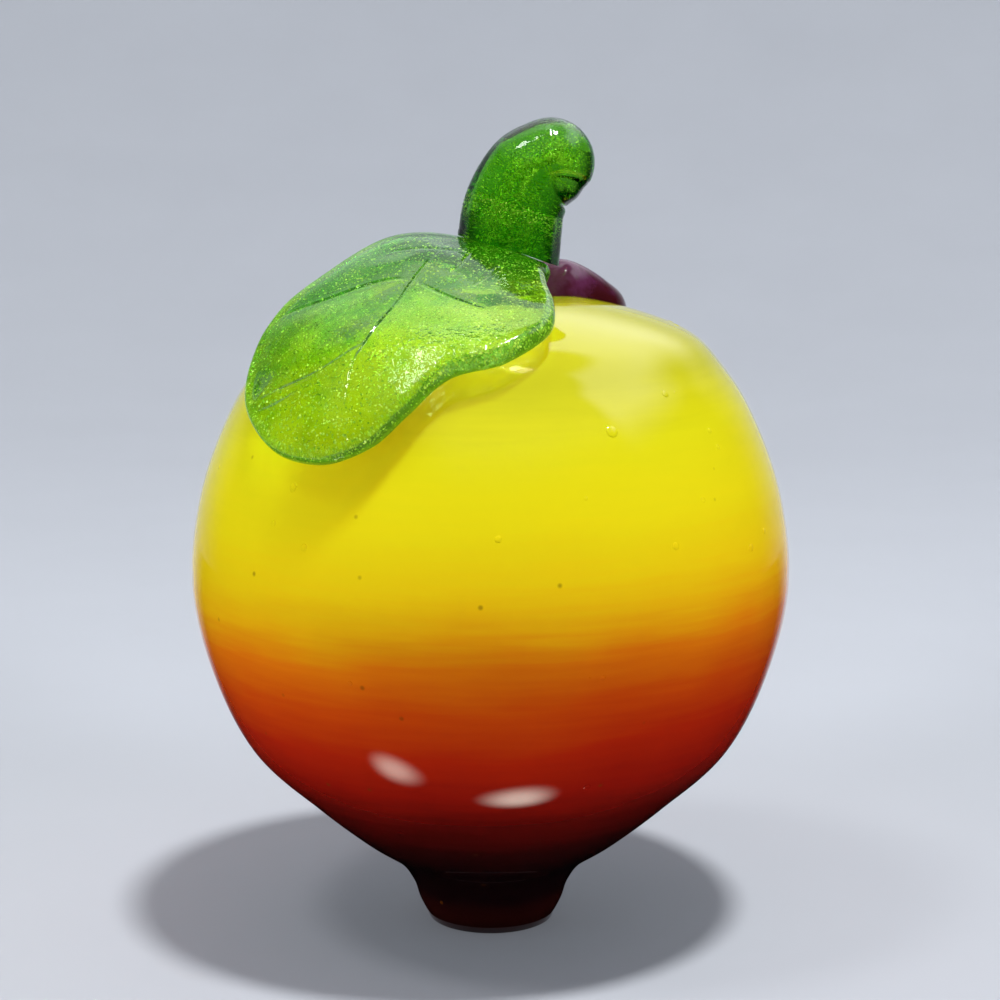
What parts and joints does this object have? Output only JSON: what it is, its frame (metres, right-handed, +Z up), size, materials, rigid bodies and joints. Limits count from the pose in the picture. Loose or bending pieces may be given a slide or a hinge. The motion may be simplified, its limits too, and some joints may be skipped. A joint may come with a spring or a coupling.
{
  "type": "glass peach",
  "caption": "Hollow blown-glass peach ornament, yellow shading to deep red, standing on its narrow neck, with a bent green stem, a draped green leaf and a smaller amethyst leaf.",
  "frame": {"origin": "middle of the foot's standing ring, on the surface that the peach stands on", "axes": "+Z up along the axis the bubble was turned on; -Y faces the viewer, with the green leaf at the front left and the stem bent to +X"},
  "size_m": [0.084, 0.084, 0.1143],
  "materials": {
    "yellow_glass": "opaque lemon-yellow glass, glossy",
    "red_glass": "deep red glass, feathered out towards the belly",
    "clear_glass": "clear fire-polished casing with a few seeds",
    "green_leaf_glass": "transparent green glass with fine metallic flakes, veins pressed in",
    "amethyst_glass": "dark amethyst glass, fire-polished",
    "green_stem_glass": "transparent deep green glass with fine metallic flakes, faintly fluted"
  },
  "bodies": {
    "root": {"yellow_core": "yellow_glass", "red_overlay": "red_glass", "clear_casing": "clear_glass", "green_leaf": "green_leaf_glass", "amethyst_leaf": "amethyst_glass", "stem": "green_stem_glass"}
  },
  "joints": []
}
